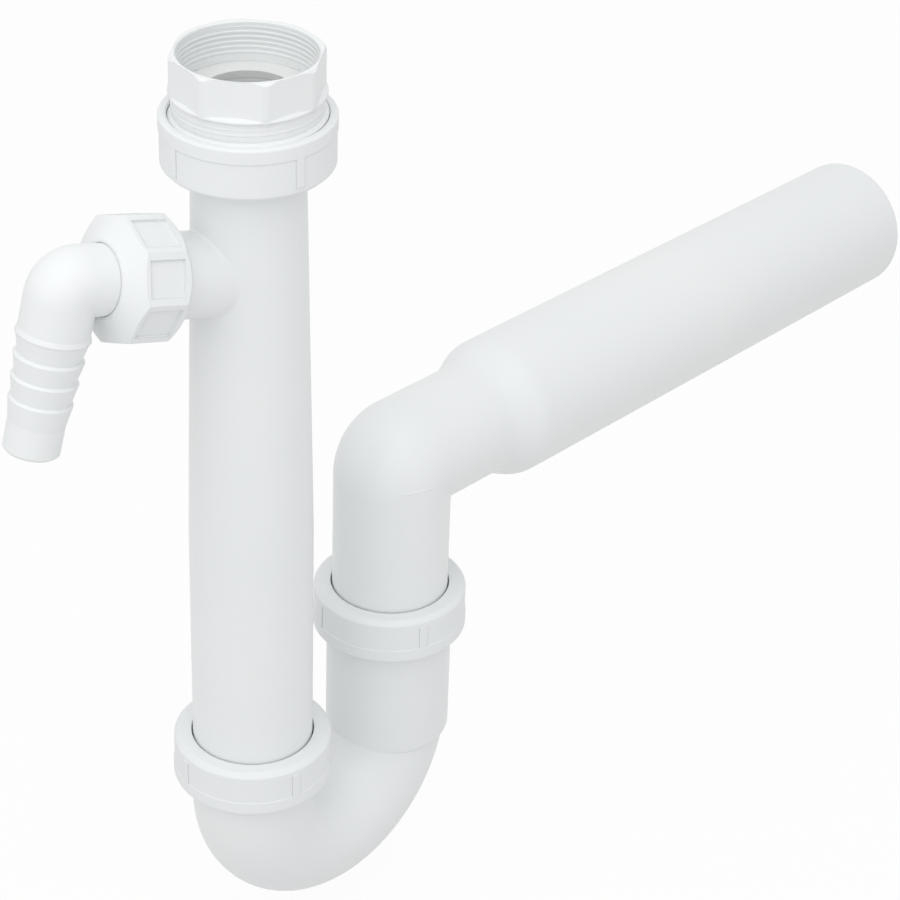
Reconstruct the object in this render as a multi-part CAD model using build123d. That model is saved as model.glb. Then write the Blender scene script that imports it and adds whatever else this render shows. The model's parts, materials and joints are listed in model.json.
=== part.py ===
"""Tubular waste trap with a hose branch: threaded inlet, J-bend, swivelling outlet elbow and pipe.

Millimetres, +Z up. The origin is on the inlet thread's axis, where the mating outlet seats on its
washer. The J-bend lies in the XZ plane, with the outlet leg on the +X side.
"""
import os
from math import cos, radians, sqrt, tan

from build123d import *

# Fits: room round what turns, a tube's room in its socket, its wider room in a nut's mouth,
# and the hose arm's close fit in its nut
RUN_GAP = 0.3
SOCKET_GAP = 0.4
MOUTH_GAP = 0.5
ARM_GAP = 0.15
EDGE = 0.8
MOUTH_CHAMFER = 0.4

# Pipe sizes
TUBE_OD = 40.0
TUBE_TOP_OD = 34.6
TUBE_WALL = 2.2
PIPE_OD = 50.0
PIPE_WALL = 2.4

# Slip joint: plastic ring over a tapered rubber seal, in the socket's conical mouth
RING_THICK = 1.5
SEAL_HEAD = 2.0
SEAL_TAPER = 4.0
SEAL_WALL = 1.7
SEAL_TIP_WALL = 0.6
MOUTH_LIP = 1.3
SEAL_TOP_OD = TUBE_OD + 2 * (RUN_GAP + SEAL_WALL)
SEAL_TIP_OD = TUBE_OD + 2 * (RUN_GAP + SEAL_TIP_WALL)

# Threads, by their outside diameters and depth; the union thread goes round the seal's socket
INLET_THREAD_OD = 41.91
UNION_THREAD_OD = SEAL_TOP_OD + 2 * (MOUTH_LIP + 2 * RUN_GAP)
BRANCH_THREAD_OD = 30.2
THREAD_DEPTH = 1.48

# Inlet adapter
INLET_DEPTH = 12.5
COLLAR_HEIGHT = 13.0
COLLAR_WALL = 1.15
COLLAR_TRIM = 0.8
COLLAR_CORNER_RISE = 2.6
COLLAR_TURN = 78.3
LEDGE_HEIGHT = 2.0
LEDGE_RISE = 0.1
NECK_WALL = 2.2
WASHER_THICK = 2.5
WASHER_SHOULDER = 0.5
SEAT_LEDGE = 3.0
THROAT_OD = 27.0
ADAPTER_TAIL = 15.3
ADAPTER_WALL = 3.6

# Union nuts
NUT_WALL = 2.7
NUT_RELIEF = 0.3
NUT_BAND = 4.6
NUT_LIP = 3.0
NUT_CHAMFER = 1.6
NUT_RIBS = 4
NUT_RIB_WIDTH = 3.0
INLET_NUT_HEIGHT = 17.2
SLIP_NUT_HEIGHT = 16.4
INLET_NUT_TURN = 79.0
LOWER_NUT_TURN = 13.0
OUTLET_NUT_TURN = 22.0

# Inlet tube and its flange
FLANGE_THICK = 3.0
FLANGE_SEAL_THICK = 2.5
TAPER_LENGTH = 133.1
TUBE_LENGTH = 232.2

# J-bend
LEG_SPACING = 68.0
BEND_OD = 41.0
BEND_WALL = 2.3
SOCKET_WALL = 1.3
INLET_SOCKET_PLAIN = 1.5
INLET_TUBE_DEPTH = 9.3
OUTLET_RISE = 25.7
OUTLET_STOP_LEAD = 4.1
SOCKET_STEP = 4.0
STEP_DROP = 7.5
BEND_DROP = 20.2

# Outlet elbow, reducer and pipe
ELBOW_DEPTH = 25.0
ELBOW_HEIGHT = 55.4
ELBOW_BEND_R = 5.0
PIPE_FALL = 2.85
REDUCER_START = 41.0
REDUCER_LENGTH = 11.5
PIPE_REACH = 272.0

# Hose branch
BRANCH_DROP = 60.4
BRANCH_ANGLE = 168.0
BRANCH_RISE = 14.4
BRANCH_OD = 26.4
BRANCH_WALL = 4.0
BRANCH_BLEND = 1.0
BRANCH_REACH = 46.0
BRANCH_THREAD_LENGTH = 12.0
BRANCH_SEAL_THICK = 2.0
BRANCH_NUT_WALL = 3.6
BRANCH_NUT_LENGTH = 20.0
BRANCH_NUT_LIP = 3.0
BRANCH_NUT_SIDES = 8
BRANCH_NUT_TURN = 22.5
BRANCH_NUT_CHAMFER = 2.2
BRANCH_NUT_SHOULDER = 4.5
BRANCH_NUT_LAND = 1.0
PANEL_WIDTH = 11.0
PANEL_LENGTH = 12.0
PANEL_DEPTH = 0.8

# Hose elbow and its barbs
HOSE_FLANGE_THICK = 2.5
HOSE_ARM_OD = 21.6
HOSE_WALL = 1.7
HOSE_ARM = 15.7
HOSE_BEND_R = 5.0
HOSE_TURN = 90.0
HOSE_LENGTH = 54.5
BARB_COUNT = 4
BARB_START = 16.7
BARB_PITCH = 7.0
BARB_OD = 22.2
BARB_TIP_OD = 17.4
BARB_STEP = 1.2

# Levels worked out from the stack, from the washer downwards
RIM_Z = INLET_DEPTH
SEAT_Z = -WASHER_THICK
TAIL_Z = -ADAPTER_TAIL
FLANGE_Z = TAIL_Z - FLANGE_SEAL_THICK
NUT_SEAT_Z = FLANGE_Z - FLANGE_THICK
INLET_NUT_Z = NUT_SEAT_Z - NUT_LIP
TAPER_Z = NUT_SEAT_Z - TAPER_LENGTH
TUBE_END_Z = FLANGE_Z - TUBE_LENGTH
INLET_MOUTH_Z = TUBE_END_Z + INLET_TUBE_DEPTH
OUTLET_MOUTH_Z = INLET_MOUTH_Z + OUTLET_RISE
BEND_Z = INLET_MOUTH_Z - BEND_DROP
ELBOW_END_Z = OUTLET_MOUTH_Z - ELBOW_DEPTH
CORNER_Z = OUTLET_MOUTH_Z + ELBOW_HEIGHT
THREAD_LENGTH = SLIP_NUT_HEIGHT - NUT_LIP - RING_THICK - SEAL_HEAD + EDGE

# Radii that several pieces share
TUBE_R = TUBE_OD / 2
UNION_R = UNION_THREAD_OD / 2
BRANCH_THREAD_R = BRANCH_THREAD_OD / 2
SOCKET_BORE_R = TUBE_R + SOCKET_GAP
SOCKET_R = SOCKET_BORE_R + SOCKET_WALL
FLANGE_R = UNION_R - THREAD_DEPTH - SOCKET_GAP
BRANCH_BORE_R = BRANCH_OD / 2 - BRANCH_WALL

# Branch axis: local Z runs out along the branch, local X stands up from it
BRANCH_TURN = Rot(0, 0, BRANCH_ANGLE) * Rot(0, 90 - BRANCH_RISE, 0) * Rot(0, 0, 180)
BRANCH_AXIS = Pos(0, 0, -BRANCH_DROP) * BRANCH_TURN


def turned(*points):
    """Solid of revolution about Z from (radius, height) points; a third value rounds that corner."""
    face = make_face(Polyline(*[(p[0], p[1]) for p in points], close=True))
    for radius, height, rounding in [p for p in points if len(p) == 3]:
        corner = face.vertices().sort_by_distance((radius, height))[0]
        face = fillet(corner, rounding)
    return revolve(Plane.XZ * face, Axis.Z)


def rod(radius, low, high):
    """Plain cylinder on Z between two heights."""
    return Pos(0, 0, low) * Cylinder(radius, high - low, align=(Align.CENTER, Align.CENTER, Align.MIN))


def tight_elbow(radius, bend_radius, turn, leg, arm):
    """Rod up Z to a corner at the origin and on towards +X; the bend may be tighter than the rod."""
    tangent = bend_radius * tan(radians(turn) / 2)
    reach = 4 * radius
    kept = Pos(bend_radius - reach / 2, 0) * Rectangle(reach, reach)
    section = Pos(0, 0, -tangent) * (Circle(radius) & kept)
    bend = revolve(section, Axis((bend_radius, 0, -tangent), (0, 1, 0)), turn)
    return rod(radius, -leg, -tangent) + bend + Rot(0, turn, 0) * rod(radius, tangent, arm)


def flats(across, sides, low, high):
    """Prism with the given size across its flats, the first flat facing +X."""
    outline = Rot(0, 0, 180 / sides) * RegularPolygon(across / 2, sides, major_radius=False)
    return Pos(0, 0, low) * extrude(outline, high - low)


def inlet_adapter():
    """Female inlet thread in an eight-sided collar, washer ledge, and a male union thread below."""
    thread_r = INLET_THREAD_OD / 2
    core_r = UNION_R - THREAD_DEPTH
    collar_z = RIM_Z - COLLAR_HEIGHT
    across = INLET_THREAD_OD + 2 * COLLAR_WALL
    high = Rot(0, 0, COLLAR_TURN) * flats(across, 4, collar_z, RIM_Z)
    low = Rot(0, 0, COLLAR_TURN + 45) * flats(across - COLLAR_TRIM, 4, collar_z, RIM_Z)
    corner_r = across / 2 + COLLAR_CORNER_RISE / 2
    blank = turned(
        (0, collar_z),
        (corner_r, collar_z),
        (corner_r, RIM_Z - EDGE),
        (corner_r - EDGE, RIM_Z),
        (0, RIM_Z),
    )
    pocket_r = thread_r - WASHER_SHOULDER
    neck_r = pocket_r + NECK_WALL
    neck_z = SEAT_Z - SEAT_LEDGE
    ledge_r = corner_r + LEDGE_RISE
    tail = turned(
        (0, TAIL_Z),
        (core_r - EDGE, TAIL_Z),
        (core_r, TAIL_Z + EDGE),
        (core_r, neck_z - EDGE),
        (neck_r, neck_z),
        (neck_r, collar_z),
        (ledge_r, collar_z + LEDGE_HEIGHT / 4),
        (ledge_r, collar_z + LEDGE_HEIGHT / 2),
        (ledge_r - LEDGE_HEIGHT, collar_z + LEDGE_HEIGHT),
        (0, collar_z + LEDGE_HEIGHT),
    )
    tail_r = core_r - ADAPTER_WALL
    bore = turned(
        (0, RIM_Z + EDGE),
        (thread_r + MOUTH_CHAMFER + EDGE, RIM_Z + EDGE),
        (thread_r, RIM_Z - MOUTH_CHAMFER),
        (thread_r, 0),
        (pocket_r, 0),
        (pocket_r, SEAT_Z),
        (THROAT_OD / 2, SEAT_Z),
        (THROAT_OD / 2, neck_z),
        (tail_r, neck_z),
        (tail_r, TAIL_Z - EDGE),
        (0, TAIL_Z - EDGE),
    )
    return (high & low & blank) + tail - bore


def inlet_washer():
    """Flat washer that lies on the adapter's ledge, under the inlet thread."""
    outer = INLET_THREAD_OD / 2 - WASHER_SHOULDER - RUN_GAP
    return rod(outer, SEAT_Z, 0) - rod(THROAT_OD / 2, SEAT_Z - EDGE, EDGE)


def union_nut(height, hole_r):
    """Round nut with its open end up: band at the mouth, relieved body with grip ribs, inward lip."""
    outer = UNION_R + NUT_WALL
    body = outer - NUT_RELIEF
    shell = turned(
        (0, 0),
        (body - NUT_CHAMFER, 0, EDGE),
        (body, NUT_CHAMFER, EDGE),
        (body, height - NUT_BAND - NUT_RELIEF),
        (outer, height - NUT_BAND),
        (outer, height, EDGE),
        (0, height),
    )
    ring = turned(
        (body - EDGE, NUT_CHAMFER + EDGE),
        (outer, NUT_CHAMFER + 2 * EDGE),
        (outer, height - NUT_BAND),
        (body - EDGE, height - NUT_BAND),
    )
    rib = ring & Pos(outer, 0, height / 2) * Box(outer, NUT_RIB_WIDTH, height)
    for step in range(NUT_RIBS):
        shell += Rot(0, 0, 360 / NUT_RIBS * step) * rib
    bore = turned(
        (0, -EDGE),
        (hole_r, -EDGE),
        (hole_r, NUT_LIP),
        (UNION_R, NUT_LIP),
        (UNION_R, height - MOUTH_CHAMFER),
        (UNION_R + MOUTH_CHAMFER + EDGE, height + EDGE),
        (0, height + EDGE),
    )
    return shell - bore


def inlet_union_nut():
    """Nut that draws the tube's flange up against the adapter."""
    hole_r = TUBE_TOP_OD / 2 + MOUTH_GAP
    return Pos(0, 0, INLET_NUT_Z) * Rot(0, 0, INLET_NUT_TURN) * union_nut(INLET_NUT_HEIGHT, hole_r)


def slip_nut(x, mouth_z, turn):
    """Nut over a slip joint, turned so that its open end is down on the socket's thread."""
    top = mouth_z + SEAL_HEAD + RING_THICK + NUT_LIP
    nut = union_nut(SLIP_NUT_HEIGHT, TUBE_R + MOUTH_GAP)
    return Pos(x, 0, top) * Rot(180, 0, 0) * Rot(0, 0, turn) * nut


def slip_ring(x, mouth_z):
    """Thin plastic ring that lets the nut turn without dragging the seal."""
    low = mouth_z + SEAL_HEAD
    hole = rod(TUBE_R + RUN_GAP, low - EDGE, low + RING_THICK + EDGE)
    return Pos(x, 0, 0) * (rod(UNION_R - 2 * RUN_GAP, low, low + RING_THICK) - hole)


def slip_seal(x, mouth_z):
    """Rubber seal with a flat head and a tapered skirt."""
    inner = TUBE_R + RUN_GAP
    head_r = UNION_R - 3 * RUN_GAP
    seal = turned(
        (inner, mouth_z - SEAL_TAPER),
        (SEAL_TIP_OD / 2, mouth_z - SEAL_TAPER),
        (SEAL_TOP_OD / 2, mouth_z),
        (head_r, mouth_z),
        (head_r, mouth_z + SEAL_HEAD),
        (inner, mouth_z + SEAL_HEAD),
    )
    return Pos(x, 0, 0) * seal


def tube_wall(inset):
    """Outline of the inlet tube, tapered above and straight below, drawn in by a wall."""
    top_r = TUBE_TOP_OD / 2 - inset
    end_r = TUBE_R - inset
    over = EDGE if inset else 0
    return turned(
        (0, FLANGE_Z + over),
        (top_r, FLANGE_Z + over),
        (top_r, NUT_SEAT_Z),
        (end_r, TAPER_Z),
        (end_r, TUBE_END_Z - over),
        (0, TUBE_END_Z - over),
    )


def branch_stub():
    """Side branch from the tube's axis, ending in a male thread, along local Z."""
    thread_z = BRANCH_REACH - BRANCH_THREAD_LENGTH
    thread_r = BRANCH_THREAD_R - RUN_GAP
    return turned(
        (0, 0),
        (BRANCH_OD / 2, 0),
        (BRANCH_OD / 2, thread_z - EDGE),
        (thread_r, thread_z + EDGE),
        (thread_r, BRANCH_REACH - EDGE),
        (thread_r - EDGE, BRANCH_REACH),
        (0, BRANCH_REACH),
    )


def inlet_tube():
    """Dip tube with its union flange on top and the hose branch on its side."""
    body = tube_wall(0) + BRANCH_AXIS * branch_stub()
    saddle = body.edges().filter_by(lambda e: e.geom_type not in (GeomType.LINE, GeomType.CIRCLE))
    body = fillet(saddle, BRANCH_BLEND) + rod(FLANGE_R, NUT_SEAT_Z, FLANGE_Z)
    branch_bore = BRANCH_AXIS * rod(BRANCH_BORE_R, 0, BRANCH_REACH + EDGE)
    return body - tube_wall(TUBE_WALL) - branch_bore


def inlet_flange_seal():
    """Flat seal between the adapter's tail and the tube's flange."""
    hole = TUBE_TOP_OD / 2 - TUBE_WALL
    return rod(FLANGE_R, FLANGE_Z, TAIL_Z) - rod(hole, FLANGE_Z - EDGE, TAIL_Z + EDGE)


def socket(mouth_z, socket_end):
    """Outside of a slip socket on Z: thread, plain socket, rounded step that sinks into the bend's tube."""
    thread_r = UNION_R - RUN_GAP
    thread_end = mouth_z - THREAD_LENGTH
    foot_z = socket_end - SOCKET_STEP
    depth = max(BEND_Z - foot_z, 0)
    shift = LEG_SPACING / 2 - sqrt((LEG_SPACING / 2) ** 2 - depth ** 2)
    leg = rod(BEND_OD / 2, BEND_Z, thread_end)
    return leg + turned(
        (0, foot_z),
        (BEND_OD / 2 - EDGE - shift, foot_z),
        (SOCKET_R, socket_end, SOCKET_STEP * 3 / 4),
        (SOCKET_R, thread_end - EDGE),
        (thread_r, thread_end),
        (thread_r, mouth_z - EDGE),
        (thread_r - EDGE, mouth_z),
        (0, mouth_z),
    )


def socket_bore(mouth_z, stop_z):
    """Inside of a slip socket: conical seat for the seal, plain bore, and a stop for the tube."""
    inner = BEND_OD / 2 - BEND_WALL
    return turned(
        (0, BEND_Z),
        (inner, BEND_Z),
        (inner, stop_z - EDGE),
        (inner + EDGE, stop_z),
        (SOCKET_BORE_R, stop_z),
        (SOCKET_BORE_R, mouth_z - SEAL_TAPER - EDGE),
        (SEAL_TIP_OD / 2 + RUN_GAP, mouth_z - SEAL_TAPER - RUN_GAP),
        (SEAL_TOP_OD / 2 + RUN_GAP, mouth_z),
        (SEAL_TOP_OD / 2 + RUN_GAP, mouth_z + EDGE),
        (0, mouth_z + EDGE),
    )


def return_bend(radius):
    """Half ring that joins the two legs under the bend's springing line."""
    section = Pos(0, 0, BEND_Z) * Circle(radius)
    return revolve(section, Axis((LEG_SPACING / 2, 0, BEND_Z), (0, -1, 0)), 180)


def trap_bend():
    """J-bend with a short socket for the dip tube and a long one for the outlet elbow."""
    across = Pos(LEG_SPACING, 0, 0)
    inlet_end = INLET_MOUTH_Z - THREAD_LENGTH - EDGE - INLET_SOCKET_PLAIN
    inlet = socket(INLET_MOUTH_Z, inlet_end)
    outlet = across * socket(OUTLET_MOUTH_Z, BEND_Z - STEP_DROP)
    body = inlet + outlet + return_bend(BEND_OD / 2)
    body -= socket_bore(INLET_MOUTH_Z, inlet_end)
    body -= across * socket_bore(OUTLET_MOUTH_Z, BEND_Z + OUTLET_STOP_LEAD)
    return body - return_bend(BEND_OD / 2 - BEND_WALL)


def pipe_wall(inset):
    """Elbow, reducer and outlet pipe about the elbow's corner, drawn in by the elbow's wall."""
    leg = CORNER_Z - ELBOW_END_Z
    turn = 90 + PIPE_FALL
    over = EDGE if inset else 0
    small = TUBE_R - inset
    large = PIPE_OD / 2 - (PIPE_WALL if inset else 0)
    reducer = turned(
        (0, REDUCER_START - REDUCER_LENGTH / 3),
        (small, REDUCER_START - REDUCER_LENGTH / 3),
        (small, REDUCER_START, REDUCER_LENGTH),
        (large, REDUCER_START + REDUCER_LENGTH, REDUCER_LENGTH),
        (large, PIPE_REACH + over),
        (0, PIPE_REACH + over),
    )
    elbow = tight_elbow(small, ELBOW_BEND_R, turn, leg + over, REDUCER_START)
    return elbow + Rot(0, turn, 0) * reducer


def outlet_elbow():
    """Elbow that swivels in the outlet socket, widening to the waste pipe's size."""
    return Pos(LEG_SPACING, 0, CORNER_Z) * (pipe_wall(0) - pipe_wall(TUBE_WALL))


def branch_union_nut():
    """Eight-sided nut with a sunk panel in each flat, and a broad shoulder on the hose side."""
    top = BRANCH_REACH + BRANCH_SEAL_THICK + HOSE_FLANGE_THICK + BRANCH_NUT_LIP
    low = top - BRANCH_NUT_LENGTH
    across = BRANCH_THREAD_OD + 2 * BRANCH_NUT_WALL
    corner_r = across / 2 / cos(radians(180 / BRANCH_NUT_SIDES))
    hole_r = HOSE_ARM_OD / 2 + ARM_GAP
    blank = turned(
        (0, low),
        (corner_r - BRANCH_NUT_CHAMFER, low),
        (corner_r, low + BRANCH_NUT_CHAMFER),
        (corner_r, top - BRANCH_NUT_SHOULDER),
        (hole_r + BRANCH_NUT_LAND, top),
        (0, top),
    )
    nut = flats(across, BRANCH_NUT_SIDES, low, top) & blank
    middle = (low + BRANCH_NUT_CHAMFER + top - BRANCH_NUT_SHOULDER) / 2
    panel = Pos(across / 2, 0, middle) * Box(2 * PANEL_DEPTH, PANEL_WIDTH, PANEL_LENGTH)
    for step in range(BRANCH_NUT_SIDES):
        nut -= Rot(0, 0, 360 / BRANCH_NUT_SIDES * step) * panel
    bore = rod(BRANCH_THREAD_R, low - EDGE, top - BRANCH_NUT_LIP)
    hole = rod(hole_r, low, top + EDGE)
    return BRANCH_AXIS * Rot(0, 0, BRANCH_NUT_TURN) * (nut - bore - hole)


def branch_seal():
    """Flat seal between the branch's end and the hose elbow's flange."""
    outer = BRANCH_THREAD_R - THREAD_DEPTH
    low = BRANCH_REACH
    high = low + BRANCH_SEAL_THICK
    return BRANCH_AXIS * (rod(outer, low, high) - rod(BRANCH_BORE_R, low - EDGE, high + EDGE))


def hose_barb():
    """Barbed arm on Z from the elbow's corner: teeth that shrink evenly towards a plain tip."""
    tip_r = BARB_TIP_OD / 2
    root_r = BARB_OD / 2 - BARB_STEP
    points = [(0, BARB_START - EDGE)]
    for tooth in range(BARB_COUNT):
        crest_z = BARB_START + BARB_PITCH * tooth
        fade = tooth / BARB_COUNT
        root = root_r + (tip_r - root_r) * fade
        points.append((root, crest_z - EDGE))
        points.append((root + BARB_STEP * (1 - fade / 2), crest_z))
    points.append((tip_r, BARB_START + BARB_PITCH * BARB_COUNT))
    points.append((tip_r, HOSE_LENGTH - EDGE))
    points.append((tip_r - EDGE, HOSE_LENGTH))
    points.append((0, HOSE_LENGTH))
    return turned(*points)


def hose_elbow():
    """Flanged elbow that takes an appliance hose, turned down beside the tube."""
    flange_z = BRANCH_REACH + BRANCH_SEAL_THICK
    corner = flange_z + HOSE_FLANGE_THICK + HOSE_ARM
    flange_r = BRANCH_THREAD_R - THREAD_DEPTH
    leg = corner - flange_z
    arm = tight_elbow(HOSE_ARM_OD / 2, HOSE_BEND_R, HOSE_TURN, leg, BARB_START)
    bore_r = BARB_TIP_OD / 2 - HOSE_WALL
    bore = tight_elbow(bore_r, HOSE_BEND_R, HOSE_TURN, leg + EDGE, HOSE_LENGTH + EDGE)
    flange = rod(flange_r, -leg, HOSE_FLANGE_THICK - leg)
    body = arm + flange + Rot(0, HOSE_TURN, 0) * hose_barb() - bore
    return BRANCH_AXIS * Pos(0, 0, corner) * Rot(0, 0, 180) * body


NODES = {
    "inlet_adapter": inlet_adapter(),
    "inlet_washer": inlet_washer(),
    "inlet_union_nut": inlet_union_nut(),
    "inlet_tube": inlet_tube(),
    "inlet_flange_seal": inlet_flange_seal(),
    "lower_union_nut": slip_nut(0, INLET_MOUTH_Z, LOWER_NUT_TURN),
    "lower_friction_ring": slip_ring(0, INLET_MOUTH_Z),
    "lower_taper_seal": slip_seal(0, INLET_MOUTH_Z),
    "trap_bend": trap_bend(),
    "outlet_union_nut": slip_nut(LEG_SPACING, OUTLET_MOUTH_Z, OUTLET_NUT_TURN),
    "outlet_friction_ring": slip_ring(LEG_SPACING, OUTLET_MOUTH_Z),
    "outlet_taper_seal": slip_seal(LEG_SPACING, OUTLET_MOUTH_Z),
    "outlet_elbow": outlet_elbow(),
    "branch_union_nut": branch_union_nut(),
    "branch_seal": branch_seal(),
    "hose_elbow": hose_elbow(),
}

os.makedirs("parts", exist_ok=True)
for node, solid in NODES.items():
    export_step(solid, f"parts/{node}.step")
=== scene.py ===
"""White tubular waste trap: plastic finishes, screw threads, mould marks, studio and camera."""
import json
from math import cos, pi, radians, sin, tau

import bmesh
import bpy
from mathutils import Matrix, Vector


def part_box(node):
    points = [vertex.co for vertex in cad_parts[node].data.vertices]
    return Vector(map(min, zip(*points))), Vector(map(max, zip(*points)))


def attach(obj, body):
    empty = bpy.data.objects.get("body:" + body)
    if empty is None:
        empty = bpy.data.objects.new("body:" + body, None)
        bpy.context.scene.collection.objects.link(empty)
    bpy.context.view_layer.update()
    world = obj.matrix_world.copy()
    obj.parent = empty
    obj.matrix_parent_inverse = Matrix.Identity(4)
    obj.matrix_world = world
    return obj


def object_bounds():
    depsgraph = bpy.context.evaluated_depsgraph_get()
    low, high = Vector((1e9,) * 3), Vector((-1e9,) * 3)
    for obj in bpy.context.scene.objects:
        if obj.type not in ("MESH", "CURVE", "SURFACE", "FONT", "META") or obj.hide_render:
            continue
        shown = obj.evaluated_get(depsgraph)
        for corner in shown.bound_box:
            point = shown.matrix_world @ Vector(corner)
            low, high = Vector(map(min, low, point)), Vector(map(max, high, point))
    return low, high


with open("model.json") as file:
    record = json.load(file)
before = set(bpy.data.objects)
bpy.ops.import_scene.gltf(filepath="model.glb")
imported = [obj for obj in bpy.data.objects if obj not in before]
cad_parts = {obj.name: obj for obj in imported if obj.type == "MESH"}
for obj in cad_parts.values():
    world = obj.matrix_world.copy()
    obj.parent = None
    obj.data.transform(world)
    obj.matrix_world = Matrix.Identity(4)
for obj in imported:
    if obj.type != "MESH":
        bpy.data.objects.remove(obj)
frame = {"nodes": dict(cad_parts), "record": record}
cad_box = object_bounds()

# Plastic: refraction, specular level, flow clouds, spread of the gloss, orange peel, softened arrises
PLASTIC_IOR = 1.49
PLASTIC_SPECULAR = 0.42
CLOUD_SCALE = 16.0
CLOUD_DETAIL = 3.0
CLOUD_FROM = 0.3
CLOUD_TO = 0.7
GLOSSIER = 0.05
DULLER = 0.07
PEEL_DETAIL = 2.0
PEEL_STRENGTH = 0.06
PEEL_DEPTH = 0.0004
ARRIS_R = 0.0004
ARRIS_SAMPLES = 4

# Threads in metres: pitches, wall radii, ridge heights, ends, and how far a ridge sinks into its wall
INLET_PITCH = 0.0016
INLET_WALL_R = 0.020955
INLET_RIDGE = 0.00016
INLET_BELOW_RIM = 0.0006
UNION_PITCH = 0.002309
UNION_CORE_R = 0.02242
UNION_RIDGE = 0.00142
UNION_ABOVE_TAIL = 0.0008
UNION_HIGH = -0.0042
NECK_R = 0.022655
NECK_RIDGE = 0.00012
NECK_LOW = -0.0056
NECK_HIGH = -0.0008
THREAD_BITE = 0.0001

# Section of a ridge, as shares of the pitch and of its height, and the half turn over which its ends fade
RIDGE = [(-0.48, 0.0), (-0.3, 0.45), (-0.14, 0.88), (0.0, 1.0), (0.14, 0.88), (0.3, 0.45), (0.48, 0.0)]
FADE_TURNS = 0.5
LEAST_FADE = 0.02

# Steps round a full turn, and the angle from which an edge stays sharp
STEPS_PER_TURN = 96
SHARP_ANGLE = radians(75)

# Upper shoulder of the lip and of the parting line, as a count of the crest's rounding
SHOULDER = 3

# Lip of the hose elbow's first barb, in metres from the spigot's mount back along its axis
BARB_LIP_BACK = 0.037
BARB_LIP_R = 0.01135
BARB_LIP_FOOT_R = 0.0104
BARB_LIP_RISE = 0.003
BARB_LIP_ROUND = 0.00012
BARB_LIP_FALL = 0.0008

# Parting line on the outlet elbow's leg: plan angles about the leg, height, size in metres, and steps
SEAM_FROM = radians(222)
SEAM_TO = radians(277)
SEAM_Z = -0.1612
SEAM_RISE = 0.00022
SEAM_ROUND = 0.00006
SEAM_ABOVE = 0.0016
SEAM_BELOW = 0.0006
SEAM_BITE = 0.0003
SEAM_REACH = 0.06
SEAM_STEPS = 40

# Camera, fitted to the photograph's 900 pixel frame
IMAGE_WIDTH = 900
FOCAL_PIXELS = 2861.5
SENSOR = 36.0
CAMERA_AZIMUTH = -50.21
CAMERA_ELEVATION = 32.41
CAMERA_ROLL = 2.10
CAMERA_DISTANCE = 0.9885
CAMERA_TARGET = Vector((0.09809, 0.00013, -0.16956))

# Studio
FLOOR_DROP = 0.004
FLOOR_SIZE = 6.0
FLOOR_TONE = 0.74
FLOOR_ROUGHNESS = 0.9
FLOOR_GLOW = 0.95
SKY_COLOUR = (0.985, 0.992, 1.0, 1)
SKY_STRENGTH = 0.79
BACKDROP_COLOUR = (1, 1, 1, 1)
BACKDROP = 0.985
KEY_POWER = 4.2
KEY_SIZE = 1.3
KEY_PLACE = Vector((-0.42, -0.24, 0.62))


def moulded(name, pale, deep, roughness, grain):
    """Satin injection-moulded plastic: faint flow clouds, uneven gloss, fine orange peel, soft arrises."""
    material = bpy.data.materials.new(name)
    material.use_nodes = True
    tree = material.node_tree
    shader = tree.nodes["Principled BSDF"]
    shader.inputs["IOR"].default_value = PLASTIC_IOR
    shader.inputs["Specular IOR Level"].default_value = PLASTIC_SPECULAR

    place = tree.nodes.new("ShaderNodeTexCoord")
    clouds = tree.nodes.new("ShaderNodeTexNoise")
    clouds.inputs["Scale"].default_value = CLOUD_SCALE
    clouds.inputs["Detail"].default_value = CLOUD_DETAIL
    tint = tree.nodes.new("ShaderNodeValToRGB")
    tint.color_ramp.elements[0].position = CLOUD_FROM
    tint.color_ramp.elements[0].color = (*deep, 1)
    tint.color_ramp.elements[1].position = CLOUD_TO
    tint.color_ramp.elements[1].color = (*pale, 1)
    gloss = tree.nodes.new("ShaderNodeMapRange")
    gloss.inputs["To Min"].default_value = roughness - GLOSSIER
    gloss.inputs["To Max"].default_value = roughness + DULLER
    peel = tree.nodes.new("ShaderNodeTexNoise")
    peel.inputs["Scale"].default_value = grain
    peel.inputs["Detail"].default_value = PEEL_DETAIL
    arris = tree.nodes.new("ShaderNodeBevel")
    arris.samples = ARRIS_SAMPLES
    arris.inputs["Radius"].default_value = ARRIS_R
    bump = tree.nodes.new("ShaderNodeBump")
    bump.inputs["Strength"].default_value = PEEL_STRENGTH
    bump.inputs["Distance"].default_value = PEEL_DEPTH

    link = tree.links.new
    link(place.outputs["Object"], clouds.inputs["Vector"])
    link(place.outputs["Object"], peel.inputs["Vector"])
    link(clouds.outputs["Fac"], tint.inputs["Fac"])
    link(tint.outputs["Color"], shader.inputs["Base Color"])
    link(clouds.outputs["Fac"], gloss.inputs["Value"])
    link(gloss.outputs["Result"], shader.inputs["Roughness"])
    link(peel.outputs["Fac"], bump.inputs["Height"])
    link(arris.outputs["Normal"], bump.inputs["Normal"])
    link(bump.outputs["Normal"], shader.inputs["Normal"])
    return material


FINISHES = {
    "white_plastic": moulded("white_plastic", (0.845, 0.86, 0.858), (0.825, 0.842, 0.842), 0.38, 900),
    "tube_plastic": moulded("tube_plastic", (0.85, 0.865, 0.862), (0.83, 0.848, 0.847), 0.36, 700),
    "nut_plastic": moulded("nut_plastic", (0.84, 0.855, 0.855), (0.815, 0.835, 0.836), 0.42, 1100),
    "ring_plastic": moulded("ring_plastic", (0.78, 0.78, 0.76), (0.74, 0.74, 0.72), 0.45, 900),
    "white_seal": moulded("white_seal", (0.80, 0.81, 0.80), (0.77, 0.78, 0.77), 0.55, 1300),
    "black_rubber": moulded("black_rubber", (0.035, 0.035, 0.036), (0.022, 0.022, 0.023), 0.65, 1500),
}


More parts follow.
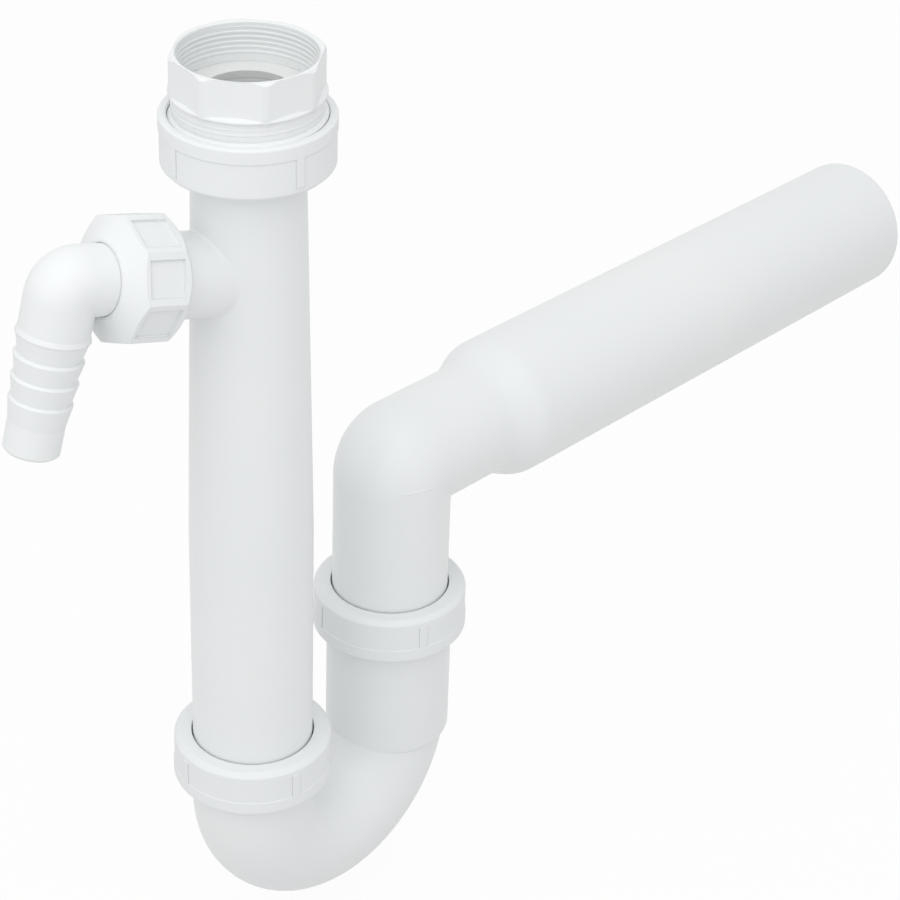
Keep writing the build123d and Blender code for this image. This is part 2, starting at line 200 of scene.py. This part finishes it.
def finish_nodes():
    """Give every carried-over solid the finish of its record slot."""
    slots = {part["node"]: part["material_slot"] for part in frame["record"]["subparts"]}
    for name, node in frame["nodes"].items():
        for entry in node.material_slots:
            entry.material = FINISHES[slots[name]]


def skin(rings, count, closed):
    """Faces of a section of count points carried through rings, closed on themselves or with end caps."""
    faces = []
    for ring in range(rings if closed else rings - 1):
        here = ring * count
        there = (ring + 1) % rings * count
        for i in range(count):
            j = (i + 1) % count
            faces.append((here + i, here + j, there + j, there + i))
    if not closed:
        last = (rings - 1) * count
        faces.append(tuple(range(count)))
        faces.append(tuple(range(last, last + count)))
    return faces


def add_object(name, points, faces, material):
    """Mesh object in the scene with one material."""
    mesh = bpy.data.meshes.new(name)
    mesh.from_pydata(points, [], faces)
    mesh.materials.append(material)
    piece = bpy.data.objects.new(name, mesh)
    bpy.context.scene.collection.objects.link(piece)
    return piece


def tidy_normals(mesh):
    """Point all faces outwards and shade them smooth, except across the hidden foot's sharp edges."""
    work = bmesh.new()
    work.from_mesh(mesh)
    bmesh.ops.recalc_face_normals(work, faces=work.faces)
    for face in work.faces:
        face.smooth = True
    for edge in work.edges:
        edge.smooth = edge.calc_face_angle(0.0) < SHARP_ANGLE
    work.to_mesh(mesh)
    work.free()


def screw_thread(name, wall_r, rise, pitch, low, high):
    """Helical ridge on a round wall about Z, inward where the rise is below zero, fading at both ends."""
    root_r = wall_r - (THREAD_BITE if rise > 0 else -THREAD_BITE)
    crest_r = wall_r + rise
    turns = (high - low) / pitch - 1
    steps = int(turns * STEPS_PER_TURN)
    fade_steps = FADE_TURNS * STEPS_PER_TURN
    points = []
    for step in range(steps + 1):
        angle = tau * step / STEPS_PER_TURN
        fade = max(LEAST_FADE, min(1.0, step / fade_steps, (steps - step) / fade_steps))
        centre = low + pitch * (0.5 + angle / tau)
        for along, lift in RIDGE:
            radius = root_r + (crest_r - root_r) * lift * fade
            points.append((radius * cos(angle), radius * sin(angle), centre + along * pitch))
    thread = add_object(name, points, skin(steps + 1, len(RIDGE), False), FINISHES["white_plastic"])
    tidy_normals(thread.data)
    return thread


def threads():
    """Inlet thread inside the collar, the union thread below it, and its shallow run-out on the neck."""
    low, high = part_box("inlet_adapter")
    inlet_high = high[2] - INLET_BELOW_RIM
    union_low = low[2] + UNION_ABOVE_TAIL
    inlet = screw_thread("inlet_thread", INLET_WALL_R, -INLET_RIDGE, INLET_PITCH, 0.0, inlet_high)
    union = screw_thread("union_thread", UNION_CORE_R, UNION_RIDGE, UNION_PITCH, union_low, UNION_HIGH)
    neck = screw_thread("union_run_out", NECK_R, NECK_RIDGE, INLET_PITCH, NECK_LOW, NECK_HIGH)
    for piece in (inlet, union, neck):
        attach(piece, "adapter")


def barb_lip():
    """Raised lip round the hose elbow's first barb, where its teeth begin under the plain arm."""
    spigot = next(m for m in frame["record"]["mounts"] if m["name"] == "hose_spigot")
    axis = Vector(spigot["axis"]).normalized()
    turn = axis.to_track_quat("Z", "X").to_matrix()
    centre = Vector(spigot["pos_m"]) - BARB_LIP_BACK * axis
    profile = [
        (BARB_LIP_FOOT_R, -BARB_LIP_RISE),
        (BARB_LIP_R - BARB_LIP_ROUND, -SHOULDER * BARB_LIP_ROUND),
        (BARB_LIP_R, 0.0),
        (BARB_LIP_R - BARB_LIP_ROUND, BARB_LIP_ROUND),
        (BARB_LIP_FOOT_R, BARB_LIP_FALL),
    ]
    points = []
    for step in range(STEPS_PER_TURN):
        angle = tau * step / STEPS_PER_TURN
        for radius, along in profile:
            points.append(centre + turn @ Vector((radius * cos(angle), radius * sin(angle), along)))
    faces = skin(STEPS_PER_TURN, len(profile), True)
    lip = add_object("barb_lip", points, faces, FINISHES["white_plastic"])
    tidy_normals(lip.data)
    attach(lip, "hose")


def mould_seam():
    """Faint parting line laid across the front of the outlet elbow's leg, sinking away at both ends."""
    elbow = frame["nodes"]["outlet_elbow"]
    inverse = elbow.matrix_world.inverted()
    leg = next(j for j in frame["record"]["behaviour"]["joints"] if j["name"] == "outlet_swivel")
    axis = Vector((leg["pos_m"][0], leg["pos_m"][1], SEAM_Z))
    profile = [
        (-SEAM_BITE, SEAM_ABOVE),
        (SEAM_RISE - SEAM_ROUND, SHOULDER * SEAM_ROUND),
        (SEAM_RISE, 0.0),
        (SEAM_RISE - SEAM_ROUND, -SEAM_ROUND),
        (-SEAM_BITE, -SEAM_BELOW),
    ]
    points = []
    for step in range(SEAM_STEPS + 1):
        share = step / SEAM_STEPS
        angle = SEAM_FROM + (SEAM_TO - SEAM_FROM) * share
        out = Vector((cos(angle), sin(angle), 0))
        start = inverse @ (axis + SEAM_REACH * out)
        wall = elbow.matrix_world @ elbow.ray_cast(start, inverse.to_3x3() @ -out)[1]
        sink = (SEAM_RISE + SEAM_ROUND) * (1 - sin(pi * share))
        for lift, along in profile:
            points.append(wall + (lift - sink) * out + Vector((0, 0, along)))
    faces = skin(SEAM_STEPS + 1, len(profile), False)
    seam = add_object("elbow_seam", points, faces, FINISHES["tube_plastic"])
    tidy_normals(seam.data)
    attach(seam, "elbow")


def studio():
    """Pale floor, white surroundings that light the part softly all round, and a large key lamp above."""
    world = bpy.data.worlds.new("studio")
    bpy.context.scene.world = world
    world.use_nodes = True
    tree = world.node_tree
    sky = tree.nodes["Background"]
    sky.inputs["Color"].default_value = SKY_COLOUR
    sky.inputs["Strength"].default_value = SKY_STRENGTH
    white = tree.nodes.new("ShaderNodeBackground")
    white.inputs["Color"].default_value = BACKDROP_COLOUR
    white.inputs["Strength"].default_value = BACKDROP
    mix = tree.nodes.new("ShaderNodeMixShader")
    tree.links.new(background_ray(tree), mix.inputs["Fac"])
    tree.links.new(sky.outputs["Background"], mix.inputs[1])
    tree.links.new(white.outputs["Background"], mix.inputs[2])
    tree.links.new(mix.outputs["Shader"], tree.nodes["World Output"].inputs["Surface"])

    half = FLOOR_SIZE / 2
    level = cad_box[0][2] - FLOOR_DROP
    corners = [(-half, -half, level), (half, -half, level), (half, half, level), (-half, half, level)]
    floor = add_object("floor", corners, [(0, 1, 2, 3)], floor_finish())

    lamp = bpy.data.lights.new("key", "AREA")
    lamp.energy = KEY_POWER
    lamp.size = KEY_SIZE
    key = bpy.data.objects.new("key", lamp)
    key.matrix_world = facing(KEY_PLACE, CAMERA_TARGET)
    bpy.context.scene.collection.objects.link(key)


def background_ray(tree):
    """Socket that is 1 for rays that see the background: from the camera, off a gloss, or through glass."""
    ray = tree.nodes.new("ShaderNodeLightPath")
    seen = ray.outputs["Is Camera Ray"]
    for kind in ("Is Glossy Ray", "Is Transmission Ray"):
        larger = tree.nodes.new("ShaderNodeMath")
        larger.operation = "MAXIMUM"
        tree.links.new(seen, larger.inputs[0])
        tree.links.new(ray.outputs[kind], larger.inputs[1])
        seen = larger.outputs["Value"]
    return seen


def floor_finish():
    """Pale floor that shows as white to the camera and still takes a soft shadow."""
    material = bpy.data.materials.new("floor")
    material.use_nodes = True
    tree = material.node_tree
    shader = tree.nodes["Principled BSDF"]
    shader.inputs["Base Color"].default_value = (FLOOR_TONE, FLOOR_TONE, FLOOR_TONE, 1)
    shader.inputs["Roughness"].default_value = FLOOR_ROUGHNESS
    glow = tree.nodes.new("ShaderNodeEmission")
    share = tree.nodes.new("ShaderNodeMath")
    share.operation = "MULTIPLY"
    share.inputs[1].default_value = FLOOR_GLOW
    mix = tree.nodes.new("ShaderNodeMixShader")
    tree.links.new(background_ray(tree), share.inputs[0])
    tree.links.new(share.outputs["Value"], mix.inputs["Fac"])
    tree.links.new(shader.outputs["BSDF"], mix.inputs[1])
    tree.links.new(glow.outputs["Emission"], mix.inputs[2])
    tree.links.new(mix.outputs["Shader"], tree.nodes["Material Output"].inputs["Surface"])
    return material


def facing(place, target):
    """Matrix that puts an object at a place with its -Z axis towards a target."""
    turn = (target - place).to_track_quat("-Z", "Y")
    return Matrix.Translation(place) @ turn.to_matrix().to_4x4()


def camera():
    """Camera at the photograph's viewing angle, with its slight roll."""
    az = radians(CAMERA_AZIMUTH)
    el = radians(CAMERA_ELEVATION)
    roll = radians(CAMERA_ROLL)
    back = Vector((sin(az) * cos(el), -cos(az) * cos(el), sin(el)))
    right = Vector((cos(az), sin(az), 0))
    up = back.cross(right)
    rolled_right = cos(roll) * right + sin(roll) * up
    rolled_up = cos(roll) * up - sin(roll) * right
    lens = bpy.data.cameras.new("camera")
    lens.sensor_width = SENSOR
    lens.lens = FOCAL_PIXELS * SENSOR / IMAGE_WIDTH
    eye = bpy.data.objects.new("camera", lens)
    turn = Matrix((rolled_right, rolled_up, back)).transposed().to_4x4()
    eye.matrix_world = Matrix.Translation(CAMERA_TARGET + CAMERA_DISTANCE * back) @ turn
    bpy.context.scene.collection.objects.link(eye)
    bpy.context.scene.camera = eye


finish_nodes()
threads()
barb_lip()
mould_seam()
studio()
camera()
bpy.context.scene.view_settings.view_transform = "Standard"
